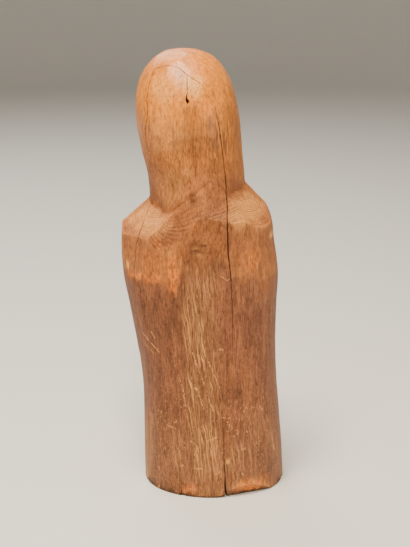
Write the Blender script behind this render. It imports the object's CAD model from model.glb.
# A praying Madonna, carved as one piece from a short length of log and seen from behind: the finished wood.
# The form is sculpted as a field, negative inside the wood, from the same named sizes as the solid. It is
# meshed, worn, split along its drying cracks and given an oiled, hand-darkened wood.
import functools
import itertools
import math
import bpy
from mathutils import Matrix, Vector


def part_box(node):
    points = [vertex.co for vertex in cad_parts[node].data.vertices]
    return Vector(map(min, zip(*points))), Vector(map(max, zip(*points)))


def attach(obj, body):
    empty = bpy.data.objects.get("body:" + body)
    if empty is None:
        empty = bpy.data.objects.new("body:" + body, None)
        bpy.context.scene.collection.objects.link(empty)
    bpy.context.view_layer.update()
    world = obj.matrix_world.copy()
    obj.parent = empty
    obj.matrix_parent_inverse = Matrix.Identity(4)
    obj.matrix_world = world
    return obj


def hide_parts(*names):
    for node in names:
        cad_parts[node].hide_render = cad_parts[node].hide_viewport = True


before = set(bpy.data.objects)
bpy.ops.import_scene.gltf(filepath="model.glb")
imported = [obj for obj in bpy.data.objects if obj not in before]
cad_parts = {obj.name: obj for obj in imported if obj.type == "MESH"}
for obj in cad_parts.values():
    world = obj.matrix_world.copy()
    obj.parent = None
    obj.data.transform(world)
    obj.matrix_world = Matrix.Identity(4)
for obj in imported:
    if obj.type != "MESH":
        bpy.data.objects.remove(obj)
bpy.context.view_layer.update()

from types import SimpleNamespace as Sizes

import bpy
import numpy as np
from mathutils import Matrix, Vector
from mathutils.bvhtree import BVHTree

MM = 0.001

# Sizes are millimetres on the log's own axes: across from MIDLINE, forward towards the face, and height.
# A list of pairs holds (height, size) stations, which along() joins with a smooth curve.
HEIGHT = 320
MIDLINE = [
    (0, -10), (25, -9.3), (60, -7.9), (88, -6), (113, -3.6), (137, -1.4), (161, 0.2), (185, 2), (227, 2.8),
    (250, 6.3), (284, 10.2), (320, 11.8),
]
TORSO_HALF_WIDTH = [
    (0, 52.3), (25, 51.8), (50, 50.8), (75, 50), (100, 50.7), (137, 54), (161, 56.5), (190, 54.9), (250, 51),
]
TORSO_BACK = [(0, 47), (40, 46), (100, 46.5), (150, 48.5), (250, 49)]
TORSO_FRONT = [(0, 51.5), (60, 47.5), (140, 46), (200, 44), (250, 38)]
TORSO_SQUARENESS = 2.15
TORSO_TOP = 234
WIDEST_RADIUS = 75

VEIL_HALF_WIDTH = [(180, 36), (215, 34.3), (238, 35), (265, 36.6)]
VEIL_BACK = [(180, 33), (215, 33.4), (240, 37), (265, 39.5)]
VEIL_FRONT = [(180, 32), (215, 35.5), (240, 38), (265, 39.5)]
VEIL_SQUARENESS = [(205, 1.8), (225, 1.85), (255, 2.1)]
VEIL_BOTTOM = 176
CROWN_START = 265
CROWN_FULLNESS = 2.45

# Flat chisel cuts, each through three points. The two shoulder ridges are shared by the cuts on either side.
LEFT_RIDGE = [(35.8, 0, 215.8), (56.5, 0, 197.2)]
RIGHT_RIDGE = [(-31, 0, 227), (-49, 0, 208.5)]
CUTS = [
    [*LEFT_RIDGE, (37.8, 38.3, 192)],
    [*LEFT_RIDGE, (28, -42, 194)],
    [*RIGHT_RIDGE, (-40, 32.3, 199.9)],
    [*RIGHT_RIDGE, (-33, -42, 196)],
    [(-47.6, 0, 209.3), (-51.7, 0, 197), (-50.1, 14.1, 200.3)],
    [(37.8, 38.3, 192), (44.8, 31.6, 163), (55.3, 13.5, 189.2)],
    [(-52, 20, 200), (-53, 20, 180), (-38, 36.5, 180)],
    [(-17, 44.2, 0), (-50, 30.5, 0), (-33.5, 42.4, 8.5)],
]
CUT_ROUNDING = 0.35
# Cuts that trim the foot of the nape too, and run out above it.
NAPE_CUTS = [
    [(19.5, 38.3, 208.5), (37.8, 38.3, 192), (17.9, 47, 186.2)],
    [(0, 44.5, 204), (10, 44.5, 204), (0, 48.2, 176)],
]
NAPE_CUTS_TOP = 209

# The nape flares from the veil out to the back: how far beyond the veil it stands at each height, measured
# on a level that drops towards her left shoulder. Past its sides the shoulder cuts meet the veil itself.
NAPE_FLARE = [
    (176, 60), (194, 22), (200, 16), (204, 12.8), (208, 10.6), (212, 8.8), (218, 6.7), (226, 4.3), (236, 1.8),
    (248, 0),
]
NAPE_TILT = 0.3
NAPE_SIDES = Sizes(fade=(0.98, 0.55), left_end=(0.93, 0.6), right_end=(0.8, 0.45), depth=14)
NAPE_TOP = 260
NAPE_FOOT = 8.6
NAPE_BLEND = 1.2

OPENING = [
    (9, 28), (40, 25), (80, 22.5), (140, 25), (178, 26), (200, 22), (216, 17.5), (228, 16.5), (244, 19.5),
    (266, 22.5),
]
ARCH_START = 266
ARCH_RISE = 30
OPENING_FLOOR = [(9, 34), (60, 32), (200, 28), (218, 16), (300, 16)]
MANTLE_FOLDS = Sizes(
    top=158, full=100, pitch=13.5, depth=3.0, edge=(-3, 1), foot=(9, 15),
    facing=(0.15, 0.55),
)
RIM_LINE = Sizes(inset=3.4, width=0.75, depth=0.55, foot=(10, 16), front=12)

# The head's own axes: across from the midline and up from FACE_CENTRE, tilted towards her left.
FACE_CENTRE = 266
FACE_DROP = 0.1
FACE_DROP_STARTS = (216, 244)
FACE_HALF_WIDTH = [
    (-32.5, 6), (-30, 9.5), (-26, 13.5), (-20, 16.6), (-12, 18.9), (0, 20.4), (12, 20.6), (26, 16),
]
FACE_PROFILE = [
    (-32.5, 27), (-30.5, 33.5), (-27, 36.2), (-23, 34.4), (-17.5, 35.8), (-12, 35.2), (0, 34.4), (8, 35.4),
    (18, 35), (26, 32.5),
]
FACE_ROUNDNESS = 20
FACE_BREADTH = 23
SOCKET = Sizes(across=8.8, up=5, width=5.6, tall=4.2, depth=3.2)
CHEEK = Sizes(across=11, up=-5, width=6, tall=7, height=1.4)
BROW = Sizes(up=11.4, across=8.6, curve=0.032, tall=1.7, height=1.1, inner=2, outer=16.5)
NOSE_RIDGE = [(-13.2, 36.4), (-11.6, 40.6), (-9.4, 43), (-5, 42), (0, 39.6), (6, 37.2), (13, 34.3)]
NOSE_HALF_WIDTH = [(-13.2, 3.4), (-11, 5.4), (-8.6, 5.2), (-4, 3.9), (3, 3), (13, 4.4)]
# Beads set into the face: (across, up, half width, half height, depth, how far forward they stand).
EYELID = (8.6, 4.2, 5.8, 3.2, 4.2, 34)
NOSTRIL_WING = (4.1, -10.6, 2.3, 2.1, 3, 38.6)
UPPER_LIP = (0, -16.6, 5.6, 1.7, 3, 37.4)
LOWER_LIP = (0, -19.8, 4.6, 1.8, 3, 37)
LID_LINE = Sizes(up=2.5, sag=0.035, width=0.42, depth=0.7, reach=(5.2, 3.7))
MOUTH = Sizes(up=-18.15, curve=0.006, width=0.35, reach=(6.2, 4.5), depth=0.6)
PHILTRUM = Sizes(up=-14.2, width=0.9, tall=1.3, depth=0.35)
HEAD_BACK = 8
HAIR_INNER = (17.4, 24.6)
HAIR_OUTER = (23.6, 31.6)
HAIR = Sizes(up=-1.5, reach=112, front=37.2, fall=8, slope=3, swell=1.6, breadth=6.5, radius=20)
HAIR_STRANDS = Sizes(count=4, depth=0.5)
HAIR_PARTING = Sizes(depth=1.6, width=2.4)
# Waves along the strands: (how far they stray, how many there are round the head, where they start).
HAIR_WAVES = [(0.22, 9, 0), (0.12, 17, 1)]

NECK = Sizes(radius=13, flare=16.5, set=12, bottom=212, top=240)
NECKLINE = Sizes(height=222, curl=0.022, starts=192)
ROBE_FRONT = [(12, 43), (60, 41.5), (140, 41), (180, 38.5), (200, 33), (212, 26.5), (226, 20.5)]
ROBE_BREADTH = 54
ROBE_TUCK = 1.2
ROBE_BEHIND = 12
PLEATS = Sizes(top=150, full=105, count=5, depth=2.1)
HEM = Sizes(height=13, recess=37, line=17.5, line_width=0.7, line_depth=0.5)
PLINTH_TOP = 9
SHOE = Sizes(across=10.5, front=51, length=21, half_width=8, height=7.5, turn=0.14)

SLEEVE_ELBOW = 51
SLEEVE_MOUTH = 10.5
SLEEVE_MIDDLE = [(0, 147), (0.5, 157), (1, 169)]
SLEEVE_HALF_HEIGHT = [(0, 10), (0.5, 14.5), (1, 19.5)]
SLEEVE_FRONT = [(0, 5), (0.25, 22), (0.5, 32), (1, 41.5)]
SLEEVE_FULLNESS = [(0, 8), (0.25, 10.5), (0.5, 11), (1, 9.5)]
SLEEVE_FOLDS = Sizes(depth=1.3, count=2.5, drift=0.9)
CUFF_LINE = Sizes(place=0.925, width=0.014, depth=0.7)
SLEEVE_ROUNDNESS = 0.55
SLEEVE_BEHIND = 24

HAND_HALF_THICKNESS = [(150, 3), (160, 4.6), (174, 5.4), (188, 5.2), (200, 4.3), (210, 3), (216.5, 1.2)]
HAND_HALF_BREADTH = [(150, 9), (160, 12), (174, 14), (188, 14.8), (200, 13.8), (210, 11), (216.5, 6)]
HAND_MIDDLE = [(150, 38), (174, 41), (190, 41.5), (205, 39), (216.5, 35)]
HAND_GAP = 0.94
HAND_SQUARENESS = 2.4
FINGERS = Sizes(root=(184, 190), count=4, depth=0.9, gap=0.75, end=0.4, inner=0.4)
THUMB = Sizes(behind=9.5, out=2.6, bottom=172, top=199, radius=4.2, lean=3, taper=1.2)

# How softly the carved forms run into one another.
BLENDS = Sizes(
    nose=0.9, wing=0.5, lid=0.35, lips=0.4, face_sides=2, face=1.2, hair=0.6, robe=0.8, sleeve=1, opening=1.1,
    base=0.5,
)

# The sampling grid, as (from, to, step) stretches: finest where the head and the hands are.
GRID_HEIGHTS = [(-1.5, 142, 0.75), (142, 322, 0.52)]
GRID_ACROSS = [(-64, -24, 0.75), (-24, 36, 0.5), (36, 62, 0.75)]
GRID_BACKWARD = [(-60, -14, 0.52), (-14, 20, 0.8), (20, 51, 0.6)]
SLAB_ROWS = 24
MOST_TRIANGLES = 186000
JOIN_DEPTH = -0.02
JOIN_ROUNDS = 3

BASE_EDGE = Sizes(wear=0.35, chips=2.4, kept=0.25)
EDGE_WAVES = [(1, 7, 1.3), (1, 17, 0.4), (0.8, 41, 0), (0.6, 73, 2)]

# Patches on the back, as (x, z, half width, half height, strength).
PITS = [
    (-2.5, 189, 2, 1.6, 0.55), (3, 185, 2.6, 1.3, 0.5), (0.5, 192, 1.4, 1.1, 0.4), (-5, 184, 1.6, 1.2, 0.4),
    (5.7, 219.2, 1.2, 2, 0.4), (-0.5, 212.7, 1.3, 1.3, 0.4), (27.6, 187.5, 1, 1, 0.6),
]

# The routes of the drying cracks down the back, as (x, z, half width).
MAIN_SPLIT = [
    (-9.8, 284, 0), (-10.7, 279, 0.22), (-13.2, 266, 0.33), (-16, 243.5, 0.36), (-18.2, 222, 0.44),
    (-18.6, 204, 0.42), (-19, 186, 0.38), (-20.6, 170, 0.3), (-21.7, 157, 0.25), (-22.4, 129, 0.18),
    (-22.6, 107, 0.08), (-22.6, 96, 0),
]
FOOT_SPLIT = [(-15.8, 64, 0), (-16, 58, 0.1), (-17, 29, 0.22), (-18, 12, 0.42), (-18.6, -1, 0.8)]
HEEL_CHECK = [(14.4, 15, 0), (14.3, 10, 0.14), (14.2, -1, 0.32)]
SHOULDER_CHECK = [
    (34.5, 213, 0), (38.5, 205, 0.16), (44, 190, 0.22), (46, 181, 0.24), (47, 162, 0.12), (47, 156, 0),
]
CROWN_CHECK = [
    (9.2, 304.5, 0), (9.2, 302.5, 0.26), (9, 292, 0.3), (9.2, 290.4, 0.34), (9.1, 289.2, 0.75),
    (8.7, 287.8, 1.25), (8.9, 286.4, 0.8), (9, 285.4, 0),
]
RING_CHECK = [
    (-4, 296, 0), (2.4, 300.5, 0.16), (8, 304, 0.18), (18, 310, 0.2), (31, 307, 0.2), (36, 292, 0.2),
    (36.6, 278, 0.22), (38, 263, 0.2), (37, 254, 0),
]
# Each crack's route, how deep it runs, and whether it points to the heart. Cracks that meet are cut one after
# the other, in groups.
CRACKS = [
    [(MAIN_SPLIT, 9, True), (FOOT_SPLIT, 10, True), (HEEL_CHECK, 6, True), (SHOULDER_CHECK, 5, True)],
    [(CROWN_CHECK, 5, False)],
    [(RING_CHECK, 2.2, False)],
]
# How far apart the places along a crack lie, how far its cutter stands proud, and where the search starts.
CRACK_STEP = 2.0
CRACK_PROUD = 2.0
WELL_BEHIND = 90
# How many rows of vertices beside a crack are painted neither as worn edge nor as hollow, and the noises by
# which a crack strays and swells.
CRACK_MARGIN = 3
CRACK_STRAY = [(0.3, (9, 9, 4), 0), (0.12, (2, 2, 1.6), 1)]
CRACK_SWELL = [(0.35, (5, 5, 3), 2)]

# Relief of the surface, as noises, each given as (height, size of its features, channel).
FIBRES = [(0.16, (2.2, 2.2, 45), 0), (0.1, (1.1, 1.1, 22), 1)]
SLOW_SWELL = [(0.35, (17, 17, 48), 2)]
FINE_RELIEF = [(0.05, (1.6, 1.6, 6), 2)]
# The fibres stand out more down the worn strip: where it is, across and backward, and how much more.
RAISED_FIBRES = Sizes(centre=4, across=(30, 12), behind=(10, 30), more=1.1)
# Gouge marks: their size and height on the body, the height on the front, and both on the head.
GOUGES = Sizes(size=(8.5, 8.5, 12), height=0.3, front=0.1, head_size=(8, 8, 34), head=0.8)
GOUGE_LEVEL = 0.35
PIT_DEPTH = 0.9
# The log's own skin: how deep a cut takes it off, how far forward it reaches, and how high.
SKIN = Sizes(depth=(0.75, 0.1), forward=(14, 2), top=215)
# Where the head's marks come in with height, and where they end and the front's begin, forward of the middle.
HEAD_STARTS = (222, 250)
BEHIND_FACE = (20, 0)
FRONT_STARTS = (14, 24)

# Stains, rubbed places and fresh wood on the back, as (x, z, half width, half height, strength).
DARK_SPOTS = [
    (0, 187, 9, 6, 0.5), (-6, 178, 20, 12, 0.3), (5.5, 221, 3, 6, 0.6), (1, 265, 16, 15, 0.36),
    (-2, 206, 22, 7, 0.2), (24, 140, 22, 20, 0.25), (-27, 276, 11, 20, 0.36), (-14, 232, 8, 14, 0.15),
    (8, 281, 5, 4, 0.35), (22, 60, 14, 20, 0.15), (27.6, 187.5, 0.8, 0.8, 0.8), (5.7, 219.2, 0.8, 0.8, 0.6),
    (-16, 79, 12, 9, 0.25), (18, 232, 3, 9, 0.4), (-10, 196, 9, 7, 0.25), (-24, 270, 7, 22, 0.2),
]
PALE_SPOTS = [
    (38, 203, 15, 9, 0.35), (-33, 212, 15, 9, 0.35), (52, 169, 1.2, 2.5, 1), (-50.5, 190, 1.5, 2, 1),
    (-19.9, 28, 2.3, 2.1, 0.8), (24, 268, 10, 18, 0.2), (26, 294, 9, 9, 0.45), (4.5, 297, 6.5, 9, 0.6),
    (22, 226, 9, 14, 0.22), (6, 240, 2, 2, 0.3), (10, 238, 2.5, 5, 0.12), (44, 30, 9, 24, 0.2),
]
ORANGE_SPOTS = [
    (19, 170, 4.5, 17, 0.65), (38, 163.5, 13, 3.5, 0.6), (-3, 283, 5, 5, 0.4), (5, 204, 3, 4, 0.3),
    (-37, 7.5, 13, 5.5, 1), (-36, 178, 9, 9, 0.3), (30, 178, 16, 14, 0.2), (8, 6, 8, 4, 0.5),
]
# The ragged edge of these patches, as a noise, where they fade, and how far they reach round to the sides.
PATCH_EDGE = [(0.35, (5, 5, 8), 1)]
PATCH_FADE = (1.25, 0.55)
PATCH_SIDES = (0, 8)
# How the surface's bends are measured, and the angle above which an edge is drawn sharp.
BEND_STEPS = 4
BEND_SMOOTHING = 2
SHARP_ANGLE = 55
# How pale, above 0, or how dark each chisel cut has stayed: the cut, by its place in its list, and its tone.
CUT_TONES = [(0, 0.8), (2, 0.6), (5, 0.2), (6, 0.25)]
NAPE_CUT_TONES = [(0, -0.5), (1, -0.45)]
# How near a place lies to a cut, and how well it faces the same way, when it shows the cut's tone.
CUT_NEARNESS = (0.9, 0.45)
CUT_FACING = (0.93, 0.97)
# The dark old surface of the log reaches this high on the back, and higher in the middle.
AGED = Sizes(top=163, rise=26, centre=-3, spread=15, edge=2, ragged=[(4, (6, 6, 7), 1)])
# The worn strip down the back: where its middle runs, as (z, x), and how far it reaches to either side.
STRIP = Sizes(middle=[(20, -4.5), (80, -2), (150, 0.5)], across=(17, 6), top=(180, 152), foot=(4, 30))
# Low on the log the strip is weaker, and the same wear covers parts of the whole back.
STRIP_FADE = Sizes(height=(25, 70), least=0.7)
LOW_WEAR = Sizes(strength=0.55, height=(75, 35), noise=[(1, (9, 9, 30), 0)], share=(-0.2, 0.3))
# Where each painted value rises from 0 to 1: by the bend, by the slant across the fibres, and by the place.
RIDGE_BENDS = (0.03, 0.22)
HOLLOW_BENDS = (0.05, 0.6)
CROSSING_SLANTS = (0.1, 0.42)
BACK_STARTS = (8, 25)
FACE_STARTS = (4, 20)
# The growth rings: their spacing, how far they waver, where in a year the late wood starts and ends, how much
# it differs between years, and how much of it the rubbed crown and the log's own surface hide.
RING = Sizes(
    pitch=1.05, waver=1.1, fine_waver=0.25, starts=(0.3, 0.8), ends=(1.0, 0.88), year=0.75,
    hidden=0.85,
)
# The dirt along the lower edge: between which heights it fades, its strength and how much its top changes.
FOOT_GRIME = Sizes(height=(3.2, 1), strength=0.92, ragged=[(1.5, (3, 3, 2), 0)])
# Sets of thin pale lines worn down the log: spacing, lean in degrees, half width, length and strength.
WORN_LINES = [
    (2.7, -7, 0.34, 26, 1.0), (3.9, -11, 0.38, 17, 1.0), (3.1, -3, 0.3, 34, 0.9), (1.3, -5, 0.18, 14, 0.6),
]
# How far these lines stray sideways, and how far apart in the noise two neighbours' breaks are looked up.
WOBBLE = {"wobble": 3.2, "fine_wobble": 0.9}
LINES_APART = 7.3
# Short nicks scattered over the log: cell (across, up), lean in degrees, width and the share that is kept.
NICKS = [
    ((4, 16), 12, 0.15, 0.62), ((3.4, 9), -20, 0.16, 0.6), ((9, 3), 7, 0.16, 0.6), ((2.4, 2.4), 0, 0.24, 0.5),
]
# Where on the back nicks come in, how strong they are on the worn strip, and how strong specks are among them
# and on the rest of the log. The flecks of the head are given as a nick is.
NICKED = Sizes(height=(120, 40), strip=0.7)
SPECKS = Sizes(nicked=0.48, log=0.096)
FLECKS = ((6, 8), 0, 0.1, 0.35)
# Dark lines down the head and the log: the size of their windings, lean in degrees and width.
STREAKS = ((3.6, 60), 1, 0.05)
SEAMS = ((2.8, 44), 3, 0.035)
# How far, and which way, a scratch is shaken out of its straight line.
SCRATCH_SHAKE = Sizes(reach=2.6, direction=(1.0, 0.0, 0.7))
# Single scratches on the back: (x, z) at both ends, half width and strength.
SCRATCHES = [
    ((42.2, 120.5), (30.5, 109.5), 0.35, 1.0), ((36.5, 124.5), (33.4, 119.5), 0.35, 0.8),
    ((42.5, 113.5), (35, 108), 0.3, 0.7), ((17.2, 95.5), (13.6, 82), 0.3, 0.9),
    ((13.6, 87), (11.8, 66.5), 0.3, 0.8), ((7, 113), (-1.5, 88), 0.35, 0.9),
    ((-4.5, 105.5), (-12.6, 85.5), 0.35, 1.0), ((5, 88), (-1, 70), 0.35, 0.9),
    ((-4.5, 77.5), (-8, 68.5), 0.4, 0.9), ((-11, 69), (-12.8, 63.5), 0.35, 0.9),
    ((-12.8, 63.5), (-22.2, 61.5), 0.35, 0.9), ((-3.3, 45.2), (-10.4, 48), 0.6, 1.0),
    ((25.4, 54), (18.2, 52.6), 0.4, 0.8), ((-33, 72), (-28.3, 60.5), 0.35, 0.7),
    ((-41, 68), (-44.6, 63.2), 0.4, 0.8), ((5.4, 43), (1.8, 26), 0.35, 0.9),
    ((4, 23.4), (0.2, 24), 0.5, 0.9), ((-28.3, 37), (-31.9, 38), 0.45, 0.9),
    ((-13.6, 168.4), (-17.6, 165.2), 0.4, 0.8), ((-17.6, 165.2), (-22, 168), 0.4, 0.8),
    ((4.8, 86), (2.6, 82), 0.8, 0.9), ((-12.2, 115), (-14.2, 114.6), 0.8, 0.9),
]

# From this script's places to the ones in the frame, and a size that is as good as endless.
DESIGN_SHIFT = (2.465, 3.743, 0)
FAR = 400
# The noises that vary the wood: the size of their features in millimetres, detail and roughness, and for some
# the two values between which they rise from 0 to 1.
TEXTURES = {
    "waver": ((20, 20, 70), 1.0, 0.5),
    "fine_waver": ((2.5, 2.5, 9), 1.0, 0.5),
    "fibre": ((0.8, 0.8, 16), 3.0, 0.7),
    "broad": ((6, 6, 36), 3.0, 0.6),
    "pores": ((0.6, 0.6, 3.6), 1.0, 0.5, 0.56, 0.68),
    "blotch": ((15, 15, 20), 3.0, 0.6),
    "small_blotch": ((2.6, 2.6, 4), 4.0, 0.75),
    "grime": ((7, 7, 12), 4.0, 0.7, 0.5, 0.7),
    "clumps": ((7, 7, 40), 2.0, 0.6, 0.42, 0.6),
    "wobble": ((5, 5, 16), 1.0, 0.5),
    "fine_wobble": ((1.6, 1.6, 4.5), 1.0, 0.5),
    "patchy": ((9, 9, 12), 2.0, 0.6, 0.42, 0.6),
    "specks": ((1.1, 1.1, 2.2), 1.0, 0.5, 0.62, 0.7),
    "shake": ((2, 2, 3), 1.0, 0.5),
    "breaks": ((1.4, 1.4, 1.4), 2.0, 0.6, 0.4, 0.54),
}
# Heights between which the head's wood, its rubbed crown, its streaks and the foot's wood come in.
HEAD_RISE = (222, 258)
CROWN_RISE = (240, 284)
STREAKS_FALL = (292, 262)
FOOT_FALL = (75, 5)
# Between which values of a noise one wood turns into the other, and where the noises let a layer show.
TURNS = (0.3, 0.7)
STRIP_SHOWS = (0.7, 0.35)
FRONT_SHOWS = (0.35, 0.65)
ORANGE_SHOWS = (0.3, 0.6)
STREAKS_SHOW = (0.4, 0.54)
LINES_SHOW = (0.42, 0.56)
# How much of each layer of colour shows at its strongest.
COVER = Sizes(
    head=0.35, crown=0.5, foot=0.5, grime=0.34, streaks=0.65, seams=0.5, front=0.4,
    ridge=0.45, marks=0.85, flecks=0.5,
)
# What makes the wood lighter or darker, as (slope, start), and the powers that deepen its green and blue.
SHADES = {
    "ring": (-0.5, 1.0), "tone": (0.32, 1.0), "fibre": (1.15, 0.42), "small_blotch": (1.35, 0.32),
    "pores": (-0.42, 1.0), "hollow": (-0.55, 1.0),
}
DARKEST = 0.05
TINT = {"green": 1.15, "blue": 1.35}
ROUGHNESS = {"small_blotch": 0.45, "crown": -0.2, "ridge": -0.08, "marks": 0.2, "hollow": 0.15}
EVEN_ROUGHNESS = 0.3
GLOSS = Sizes(crown=0.35, all=0.25)
# The fine relief that only shades the surface, in millimetres, and how much of it the rubbed head has lost.
RELIEF = {"fibre": 0.25, "ring": -0.08, "pores": -0.12, "marks": -0.25, "small_blotch": 0.4}
RUBBED = 0.5
SPLIT_FIBRE = (0.5, 0.5, 8)

CAMERA = Sizes(aim=(-0.8, 3.5, 157), azimuth=180, elevation=15, distance=900, lens=80.8)
FLOOR = Sizes(radius=2.6, curve=0.9, wall=2.4, sides=96, steps=12, inner=0.3)
# Soft studio lights: azimuth and elevation round the statue, distance and size in metres, power and colour.
LIGHTS = [
    ("key", 181, 51, 1.5, 0.24, 17, (1.0, 0.87, 0.64)),
    ("left", 146, 62, 1.5, 0.4, 9, (1.0, 0.86, 0.66)),
    ("top", 150, 76, 1.5, 0.6, 34, (1.0, 0.88, 0.72)),
    ("right", 238, -2, 1.8, 0.7, 6.5, (0.9, 0.95, 1.0)),
    ("front", 20, 42, 1.8, 1.0, 15, (1.0, 0.96, 0.92)),
]
LIGHTS_AIM = (0, 0, 0.16)
WORLD_STRENGTH = 0.14

LATTICE_SIZE = 32
LATTICE = np.random.default_rng(11).random((LATTICE_SIZE, LATTICE_SIZE, LATTICE_SIZE, 3))


def srgb(red, green, blue):
    """A linear colour from everyday 0 to 255 values."""
    return tuple(((v / 255 + 0.055) / 1.055) ** 2.4 for v in (red, green, blue)) + (1.0,)


CARVED_WOOD = srgb(178, 108, 56)
CARVED_WOOD_DEEP = srgb(147, 88, 50)
LOG_WOOD = srgb(155, 95, 60)
LOG_WOOD_DEEP = srgb(121, 72, 48)
LOG_STRIP = srgb(134, 85, 53)
FOOT_WOOD = srgb(148, 98, 63)
HEAD_WOOD = srgb(232, 136, 26)
DARK_PATINA = srgb(72, 43, 27)
PALE_WOOD = srgb(240, 170, 84)
ORANGE_WOOD = srgb(246, 130, 22)
WORN_WOOD = srgb(234, 158, 78)
SCRATCH_WOOD = srgb(240, 170, 98)
SPLIT_DARK = srgb(38, 22, 14)
SPLIT_DUST = srgb(74, 45, 28)
FLOOR_COLOUR = srgb(222, 220, 216)
WORLD_COLOUR = srgb(236, 238, 240)


def lerp(a, b, t):
    return a + (b - a) * t


def along(stations, x):
    """A smooth curve through (place, value) stations, level beyond the first and last."""
    place, value = np.array(stations, dtype=float).T
    last = len(place) - 1
    before = np.maximum(np.arange(last + 1) - 1, 0)
    after = np.minimum(np.arange(last + 1) + 1, last)
    slope = (value[after] - value[before]) / (place[after] - place[before])
    i = np.clip(np.searchsorted(place, x, side="right") - 1, 0, last - 1)
    span = place[i + 1] - place[i]
    t = np.clip((x - place[i]) / span, 0, 1)
    bend = t * (1 - t) * ((1 - t) * slope[i] - t * slope[i + 1]) * span
    return lerp(value[i], value[i + 1], t * t * (3 - 2 * t)) + bend


def ramp(x, start, stop):
    """Rises smoothly from 0 at start to 1 at stop, and falls where start is the larger."""
    t = np.clip((x - start) / (stop - start), 0, 1)
    return t * t * (3 - 2 * t)


def bell(x, spread):
    return np.exp(-((x / spread) ** 2))


def waves(turn, parts):
    """A sum of sine waves, each given as (height, number in a full turn, where it starts)."""
    return sum(height * np.sin(count * turn + start) for height, count, start in parts)


def smooth_max(a, b, blend):
    return np.maximum(a, b) + np.maximum(blend - np.abs(a - b), 0) ** 2 / (4 * blend)


def smooth_min(a, b, blend):
    return np.minimum(a, b) - np.maximum(blend - np.abs(a - b), 0) ** 2 / (4 * blend)


def section(across, forward, half_width, front, back, squareness):
    """How far out a point is, as a share of the rounded section's own radius there."""
    depth = np.where(forward > 0, front, back)
    total = np.abs(across / half_width) ** squareness + np.abs(forward / depth) ** squareness
    return np.maximum(total, 1e-9) ** (1 / squareness)


def carved_fold(phase):
    """A fold's profile, 0 on the crest and 1 in the narrow valley, as a gouge leaves it."""
    return ((1 - np.cos(phase)) / 2) ** 1.8


def cut_plane(points):
    """The normal and offset of a chisel cut, with the normal turned away from the log's heart."""
    a, b, c = (np.array(p, dtype=float) for p in points)
    normal = np.cross(b - a, c - a)
    normal /= np.linalg.norm(normal)
    heart = np.array((0, 0, HEIGHT / 4))
    if normal @ (heart - a) > 0:
        normal = -normal
    return normal, -normal @ a


CUT_PLANES = [cut_plane(points) for points in CUTS]
NAPE_PLANES = [cut_plane(points) for points in NAPE_CUTS]


def bark_field(across, forward, z):
    """The log as it grew, before any chisel cut."""
    radius = np.hypot(across, forward)
    share = section(
        across,
        forward,
        along(TORSO_HALF_WIDTH, z),
        along(TORSO_FRONT, z),
        along(TORSO_BACK, z),
        TORSO_SQUARENESS,
    )
    return radius * (1 - 1 / np.maximum(share, 1e-6))


def torso_field(x, y, z, across, forward):
    field = bark_field(across, forward, z)
    if np.min(z) < MANTLE_FOLDS.top:
        outside = np.abs(across) - along(OPENING, z)
        folds = carved_fold(2 * math.pi * outside / MANTLE_FOLDS.pitch)
        folds = folds * ramp(outside, *MANTLE_FOLDS.edge)
        reach = ramp(z, MANTLE_FOLDS.top, MANTLE_FOLDS.full) * ramp(z, *MANTLE_FOLDS.foot)
        facing = forward / np.maximum(np.hypot(across, forward), 1)
        field = field + MANTLE_FOLDS.depth * folds * reach * ramp(facing, *MANTLE_FOLDS.facing)
    for normal, offset in CUT_PLANES:
        farthest = normal[2] * np.where(normal[2] > 0, np.max(z), np.min(z)) + offset
        if farthest + WIDEST_RADIUS * np.hypot(normal[0], normal[1]) > -CUT_ROUNDING:
            plane = normal[0] * x + normal[1] * y + normal[2] * z + offset
            field = smooth_max(field, plane, CUT_ROUNDING)
    return np.maximum(field, z - TORSO_TOP)


def veil_field(across, forward, z):
    share = section(
        across,
        forward,
        along(VEIL_HALF_WIDTH, z),
        along(VEIL_FRONT, z),
        along(VEIL_BACK, z),
        along(VEIL_SQUARENESS, z),
    )
    above = np.maximum(z - CROWN_START, 0)
    rise = above / (HEIGHT - CROWN_START)
    full = (share**CROWN_FULLNESS + rise**CROWN_FULLNESS) ** (1 / CROWN_FULLNESS)
    reach = np.sqrt(across**2 + forward**2 + above**2)
    return np.maximum(reach * (1 - 1 / np.maximum(full, 1e-6)), VEIL_BOTTOM - z)


def nape_fields(across, forward, z):
    """The cut that rounds the back in towards the veil, and the veil's own flaring foot."""
    facing = -forward / np.maximum(np.hypot(across, forward), 1)
    flare = along(NAPE_FLARE, z + NAPE_TILT * across)
    veil = veil_field(across, forward, z)
    end = np.where(across > 0, ramp(facing, *NAPE_SIDES.left_end), ramp(facing, *NAPE_SIDES.right_end))
    cut = veil - flare - NAPE_SIDES.depth * end
    foot = veil - np.clip(flare, 0, NAPE_FOOT) * (1 - ramp(facing, *NAPE_SIDES.fade))
    return cut, foot


def opening_edge(across, z):
    """How far outside the opening's rim a point of the front is, negative within it."""
    level = z + FACE_DROP * across * ramp(z, *FACE_DROP_STARTS)
    half = along(OPENING, level)
    arch = np.maximum(level - ARCH_START, 0)
    share = np.hypot(across / half, arch / ARCH_RISE)
    round_arch = (share - 1) * np.minimum(half, ARCH_RISE)
    return np.maximum(np.where(level > ARCH_START, round_arch, np.abs(across) - half), PLINTH_TOP - level)


def rim_line(across, forward, z):
    """A shallow line cut along the hem of veil and mantle."""
    edge = opening_edge(across, z)
    line = RIM_LINE.depth * bell(edge - RIM_LINE.inset, RIM_LINE.width) * ramp(z, *RIM_LINE.foot)
    return line * (forward > RIM_LINE.front)


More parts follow.
